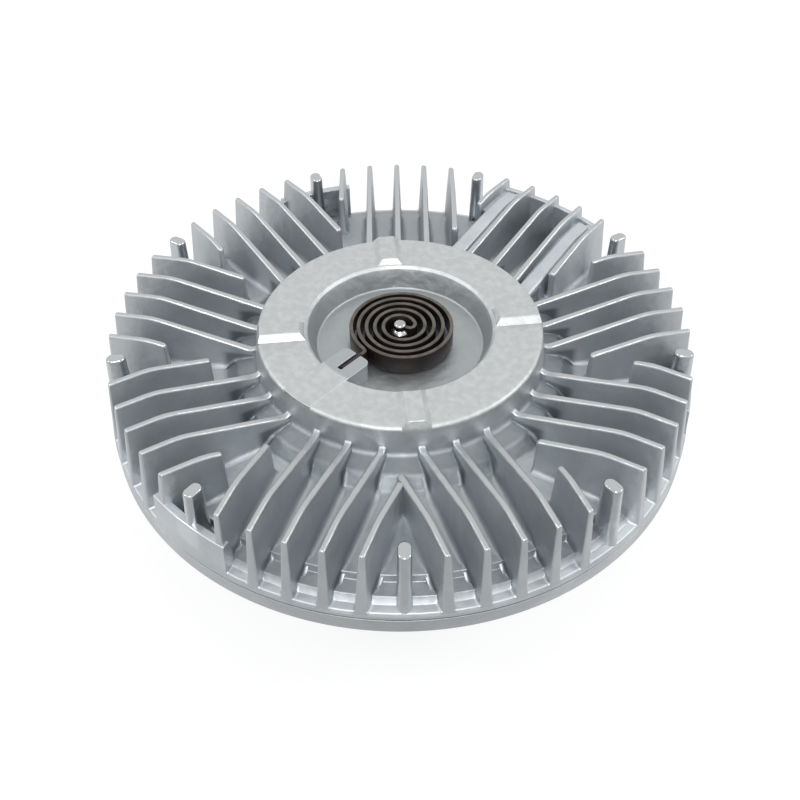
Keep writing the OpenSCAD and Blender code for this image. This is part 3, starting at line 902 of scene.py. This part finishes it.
# %% [markdown]
# ## Steel, rubber and the other finishes
# Turned steel shows fine rings from the lathe: a wave of the radius on flat faces and of
# the height on round ones. Rubber and nylon are rough and slightly mottled, and bronze is
# a warm metal with dull patches. Most of these pieces are inside, but each gets its own.

# %% Turned steel
def steel_finish(name, light, dark, rough, ring_mm):
    mat, shader, w = new_finish(name, Metallic=1.0)
    where, _, _, z, r = coordinates(w)
    lathe = w.math("SINE", (r + z) * (2 * math.pi / (ring_mm * MM)))
    smear = noise(w, where, 160.0, 4.0)
    fine = noise(w, where, 1500.0, 2.0)
    w.plug(mix_colour(w, smear.step(0.35, 0.7), dark, light), shader.inputs["Base Color"])
    w.plug(rough + 0.14 * smear + 0.03 * lathe, shader.inputs["Roughness"])
    w.plug(bump(w, 0.5 * lathe + 0.5 * fine, 0.10, 0.00006), shader.inputs["Normal"])
    return mat


PIN_STEEL = steel_finish("bright pin steel", (0.56, 0.56, 0.56), (0.42, 0.42, 0.425), 0.18, 0.5)
SHAFT_STEEL = steel_finish("turned shaft steel", (0.62, 0.62, 0.63), (0.50, 0.51, 0.53),
                           0.26, 0.45)
PART_STEEL = steel_finish("ground steel", (0.66, 0.67, 0.69), (0.56, 0.57, 0.60), 0.22, 0.3)
print("steels", [m.name for m in (PIN_STEEL, SHAFT_STEEL, PART_STEEL)])

# %% Finishes of rotor, rubber, bronze, nylon and spring
def mottled_finish(name, a, b, metallic, rough, scale, depth):
    mat, shader, w = new_finish(name, Metallic=metallic)
    where = w.node("ShaderNodeTexCoord", output="Object")
    broad, fine = noise(w, where, scale, 4.0), noise(w, where, scale * 14, 2.0)
    w.plug(mix_colour(w, broad.step(0.3, 0.7), a, b), shader.inputs["Base Color"])
    w.plug(rough + 0.15 * broad, shader.inputs["Roughness"])
    w.plug(bump(w, 0.4 * broad + 0.6 * fine, 0.2, depth), shader.inputs["Normal"])
    return mat


ROTOR_METAL = steel_finish("machined rotor metal", (0.70, 0.71, 0.72), (0.60, 0.61, 0.63),
                           0.24, 0.6)
RUBBER = mottled_finish("black seal rubber", (0.02, 0.02, 0.022), (0.036, 0.036, 0.038),
                        0.0, 0.5, 120.0, 0.00006)
BRONZE = mottled_finish("bush bronze", (0.52, 0.36, 0.16), (0.64, 0.46, 0.22),
                        1.0, 0.3, 150.0, 0.00005)
NYLON = mottled_finish("natural nylon", (0.70, 0.67, 0.56), (0.78, 0.75, 0.65),
                       0.0, 0.42, 90.0, 0.00005)
DARK_SPRING = steel_finish("dark spring steel", (0.16, 0.15, 0.15), (0.10, 0.10, 0.105), 0.3, 0.4)
print("other finishes made")

# %% [markdown]
# ## The valve pin
# The coil's inner end holds on to the pin in the middle. It is a ground pin with a domed
# end and a thicker neck that ends in a cone, and it has a collar under the cover. One
# turned outline gives all of it.

# %% Domed valve pin
def valve_pin():
    rad, dome = 2.0, 1.2
    outline = [(0.0, -19.9), (rad, -19.9), (rad, -17.0), (4.3, -17.0), (4.4, -16.9), (4.4, -15.4),
               (4.3, -15.3), (rad, -15.3), (rad, -8.0), (3.1, -8.0), (3.1, -3.8), (2.95, -3.55),
               (rad, -2.6), (rad, -dome)]
    outline += [(rad * math.cos(a), dome * math.sin(a) - dome)
                for a in np.radians([15, 30, 45, 60, 75])]
    outline += [(0.0, 0.0)]
    pin = turned("valve_pin", outline, 64)
    return shade_cast(pin, PIN_STEEL, 35)


pin = valve_pin()
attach(pin, "valve")
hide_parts("valve_shaft")
print("pin has", triangles(pin), "triangles")

# %% [markdown]
# ## Finishes for the solids that stay
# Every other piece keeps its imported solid, whose shape is right, and only gets a finish.

# %% Dress the remaining solids
KEPT = (
    (SHAFT_STEEL, ("input_shaft",)),
    (ROTOR_METAL, ("rotor",)),
    (PART_STEEL, ("rotor_nut", "dust_slinger", "separator_plate", "plate_screws", "valve_arm",
                  "return_plugs", "bearing_outer", "bearing_inner")),
    (PIN_STEEL, ("bearing_balls",)),
    (BRONZE, ("bearing_cage", "valve_bush")),
    (DARK_SPRING, ("bearing_clip",)),
    (RUBBER, ("rim_seal", "valve_seal", "bearing_seal_front", "bearing_seal_rear")),
    (NYLON, ("pump_wiper",)),
)
for paint, names in KEPT:
    for name in names:
        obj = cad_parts[name]
        for slot in obj.material_slots:
            slot.material = paint
        if not obj.material_slots:
            obj.data.materials.append(paint)
print("dressed", sum(len(names) for _, names in KEPT), "solids")

# %% [markdown]
# ## Floor and light
# The photograph is a product shot on white with almost no shadow. The floor glows towards
# the camera, a little more far away, and only a share of it answers to light, which leaves
# a faint shadow. In reflections it is grey, and darker in front, as the camera's side of a
# studio is. A soft lamp above the camera brightens each edge that faces it, and two weaker
# ones stand at the sides.

# %% Floor
def add_floor():
    size = 6.0
    low = cad_box[0][2]
    mesh = bpy.data.meshes.new("floor")
    corners = [(-size, -size, low), (size, -size, low), (size, size, low), (-size, size, low)]
    mesh.from_pydata(corners, [], [(0, 1, 2, 3)])
    floor = bpy.data.objects.new("floor", mesh)
    scene.collection.objects.link(floor)
    mat = bpy.data.materials.new("pale floor")
    mat.use_nodes = True
    tree = mat.node_tree
    tree.nodes.clear()
    w = Wire(tree)
    rays = w.node("ShaderNodeLightPath", output="Is Camera Ray")
    _, _, y, _, r = coordinates(w)
    front, away = (0 - y).step(0.085, 0.14), r.step(0.14, 0.5)
    mirrored = rays.out("Is Glossy Ray") * (0.54 - 0.42 * front)
    seen = w.math("MAXIMUM", (0.68 + 0.12 * away) * rays, mirrored)
    glow = w.node("ShaderNodeEmission", None, {"Color": (1, 1, 1), "Strength": seen})
    dull = w.node("ShaderNodeBsdfDiffuse", None, {"Color": (0.40, 0.40, 0.40)})
    both = w.node("ShaderNodeAddShader", None, {0: glow, 1: dull})
    w.node("ShaderNodeOutputMaterial", None, {"Surface": both})
    mesh.materials.append(mat)
    return floor


floor = add_floor()
print("floor at", round(cad_box[0][2], 4))

# %% World and lamps
LAMPS = (("front softbox", (-0.05, -0.72, 0.78), 0.30, 3.4),
         ("left softbox", (-0.85, -0.1, 0.75), 0.35, 1.6),
         ("right softbox", (0.85, -0.05, 0.7), 0.35, 1.9))
LAMP_AIM = Vector((0, 0, 0.06))


def add_light():
    world = bpy.data.worlds.new("studio")
    scene.world = world
    world.use_nodes = True
    tree = world.node_tree
    tree.nodes.clear()
    w = Wire(tree)
    rays = w.node("ShaderNodeLightPath", output="Is Camera Ray")
    seen = w.math("MAXIMUM", rays, rays.out("Is Transmission Ray"))
    glossy = rays.out("Is Glossy Ray")
    level = w.math("MAXIMUM", seen, 0.6 + 0.4 * glossy)
    sky = w.node("ShaderNodeBackground", None, {"Color": (1, 1, 1), "Strength": level})
    w.node("ShaderNodeOutputWorld", None, {"Surface": sky})
    lamps = []
    for name, at, size, watts in LAMPS:
        data = bpy.data.lights.new(name, "AREA")
        data.shape, data.size, data.energy = "DISK", size, watts
        lamp = bpy.data.objects.new(name, data)
        lamp.location = at
        lamp.rotation_euler = (LAMP_AIM - Vector(at)).to_track_quat("-Z", "Y").to_euler()
        scene.collection.objects.link(lamp)
        lamps.append(lamp)
    scene.view_settings.view_transform = "Standard"
    return lamps


print("lamps", [lamp.name for lamp in add_light()])
